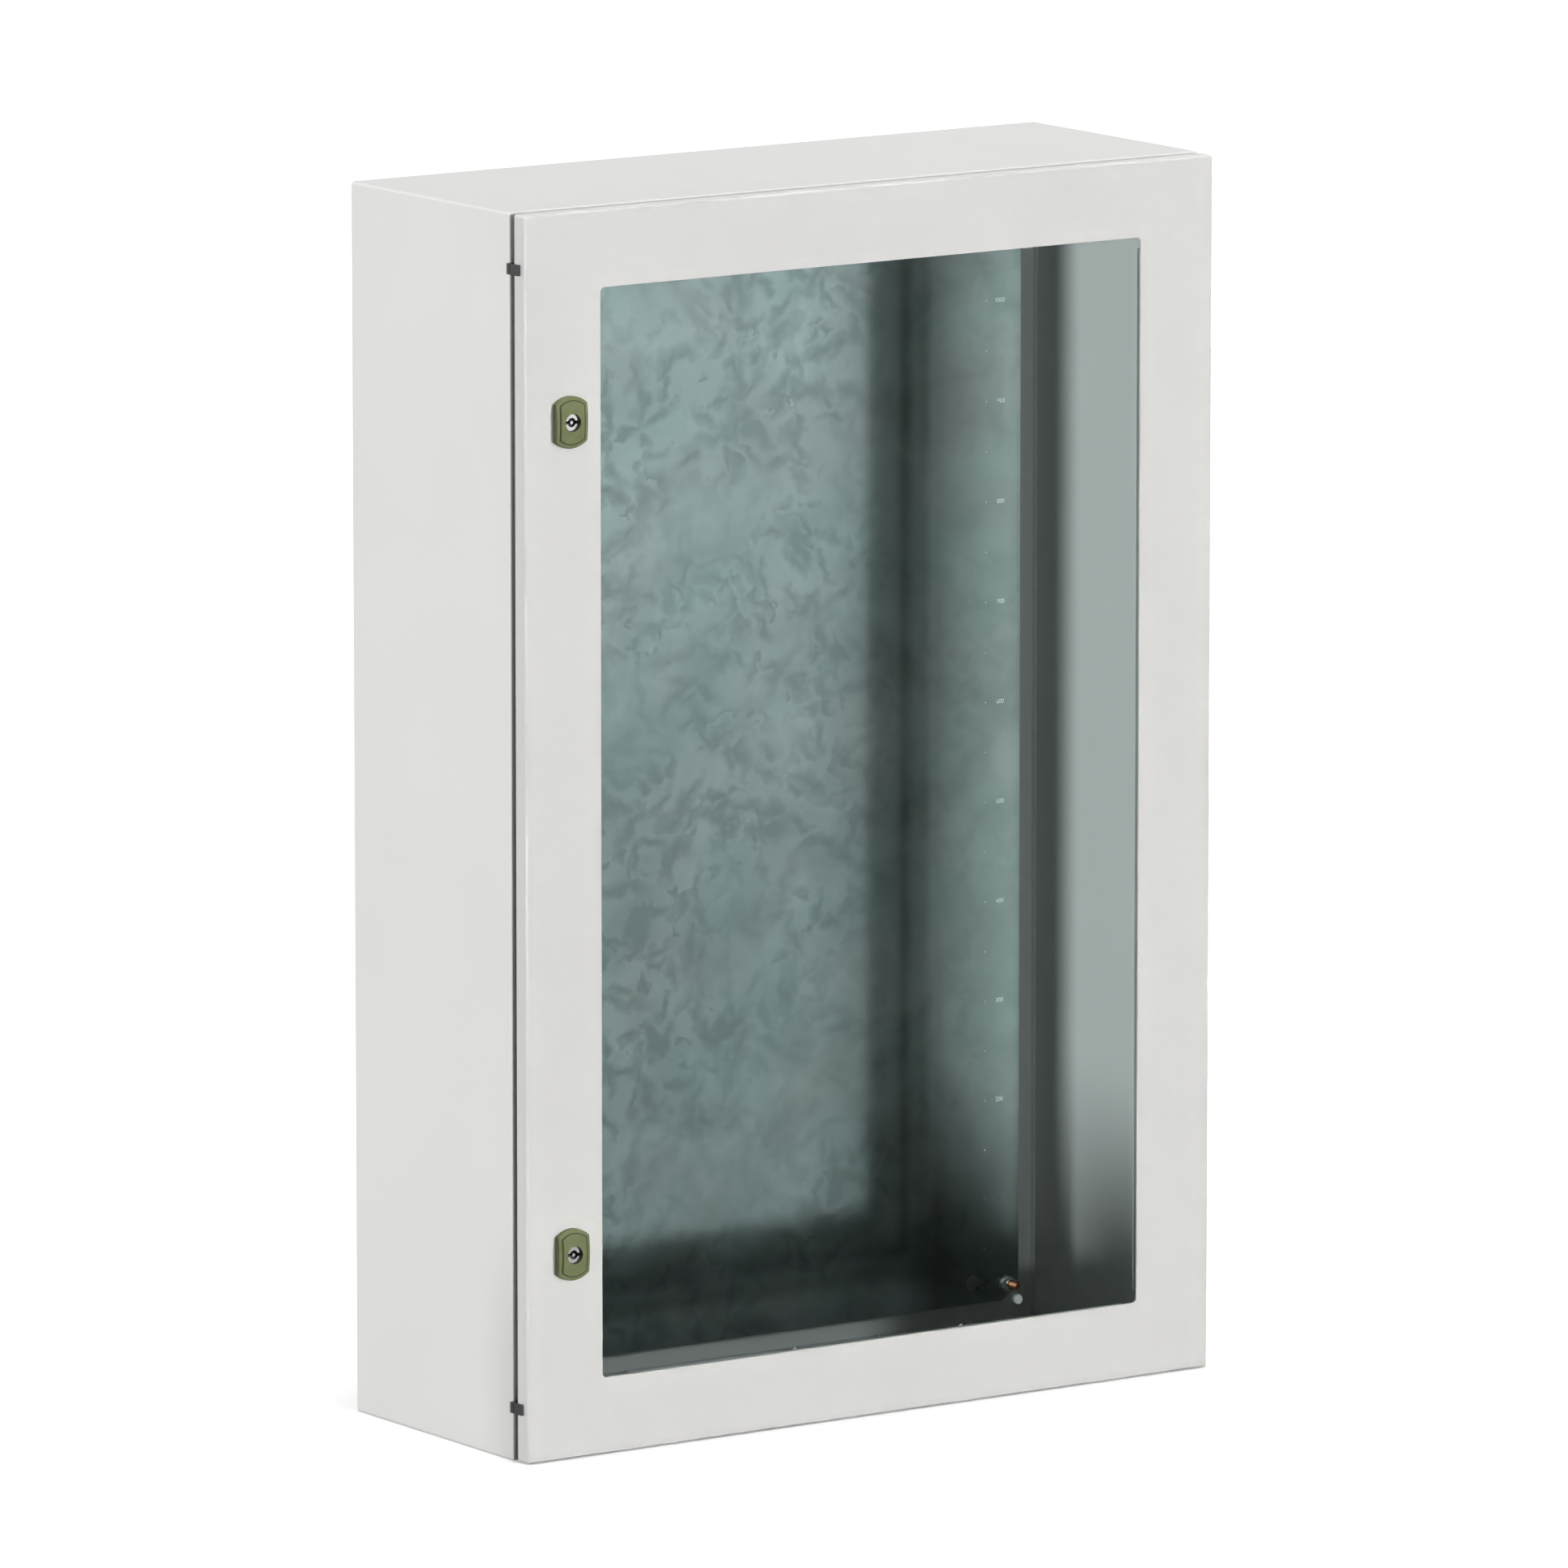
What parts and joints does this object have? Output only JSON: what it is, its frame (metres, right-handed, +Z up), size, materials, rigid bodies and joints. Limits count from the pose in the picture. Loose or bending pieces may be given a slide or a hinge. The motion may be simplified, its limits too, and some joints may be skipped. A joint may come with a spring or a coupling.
{
  "type": "electrical enclosure",
  "caption": "Wall-mounted sheet-steel electrical enclosure with a glazed hinged door, quarter-turn locks and an equipment plate.",
  "frame": {"origin": "centre of the wall-fixing pattern, on the rear face", "axes": "+X to the hinge side seen from the front, +Y to the rear into the wall, +Z up"},
  "size_m": [0.8056, 0.3086, 1.2],
  "materials": {
    "body_paint": "light grey textured powder coat",
    "door_paint": "light grey textured powder coat",
    "galvanised": "bright galvanised sheet",
    "zinc_plate": "zinc plated steel",
    "copper_plate": "copper plated steel",
    "black_casting": "black die casting",
    "black_plastic": "black moulded plastic",
    "olive_plastic": "olive moulded plastic",
    "lock_metal": "nickelled zinc casting",
    "pin_steel": "bright steel",
    "black_rubber": "black rubber",
    "gasket_foam": "foamed seal",
    "seal_grey": "grey silicone seal",
    "window_glass": "clear safety glass"
  },
  "bodies": {
    "body": {"body_earth_nut": "zinc_plate", "body_earth_stud": "copper_plate", "body_shell": "body_paint", "gland_nuts": "zinc_plate", "gland_plate_left": "body_paint", "gland_plate_right": "body_paint", "gland_seal_left": "black_rubber", "gland_seal_right": "black_rubber", "gland_studs": "zinc_plate", "hinge_bracket_screws": "zinc_plate", "lower_hinge_blank": "black_plastic", "lower_hinge_bracket": "black_casting", "lower_hinge_pin": "pin_steel", "mounting_plate": "galvanised", "plate_nuts": "zinc_plate", "plate_spacers": "zinc_plate", "plate_studs": "copper_plate", "plate_washers": "zinc_plate", "rear_panel": "body_paint", "upper_hinge_blank": "black_plastic", "upper_hinge_bracket": "black_casting", "upper_hinge_pin": "pin_steel", "wall_fixing_bushes": "zinc_plate"},
    "door": {"door_shell": "door_paint", "door_gasket": "gasket_foam", "window_glass": "window_glass", "glass_seal": "seal_grey", "glass_retainer_top": "door_paint", "glass_retainer_bottom": "door_paint", "glass_retainer_left": "door_paint", "glass_retainer_right": "door_paint", "retainer_studs": "zinc_plate", "retainer_nuts": "zinc_plate", "door_earth_stud": "copper_plate", "door_earth_nut": "zinc_plate", "hinge_leaf_screws": "zinc_plate", "upper_hinge_leaf": "black_casting", "upper_lock_housing": "olive_plastic", "upper_lock_seal": "black_rubber", "upper_lock_nut": "zinc_plate", "lower_hinge_leaf": "black_casting", "lower_lock_housing": "olive_plastic", "lower_lock_seal": "black_rubber", "lower_lock_nut": "zinc_plate"},
    "upper_lock": {"upper_lock_insert": "lock_metal", "upper_lock_cam": "zinc_plate", "upper_cam_screw": "zinc_plate"},
    "lower_lock": {"lower_lock_insert": "lock_metal", "lower_lock_cam": "zinc_plate", "lower_cam_screw": "zinc_plate"}
  },
  "joints": [
    {"name": "door_swing", "type": "hinge", "parent": "body", "child": "door", "pos_m": [0.4, -0.278, 0], "axis": [0, 0, 1], "range_deg": [0, 120]},
    {"name": "upper_lock_turn", "type": "hinge", "parent": "door", "child": "upper_lock", "pos_m": [-0.35, -0.3, 0.4], "axis": [0, 1, 0], "range_deg": [0, 90]},
    {"name": "lower_lock_turn", "type": "hinge", "parent": "door", "child": "lower_lock", "pos_m": [-0.35, -0.3, -0.4], "axis": [0, 1, 0], "range_deg": [0, 90]}
  ]
}
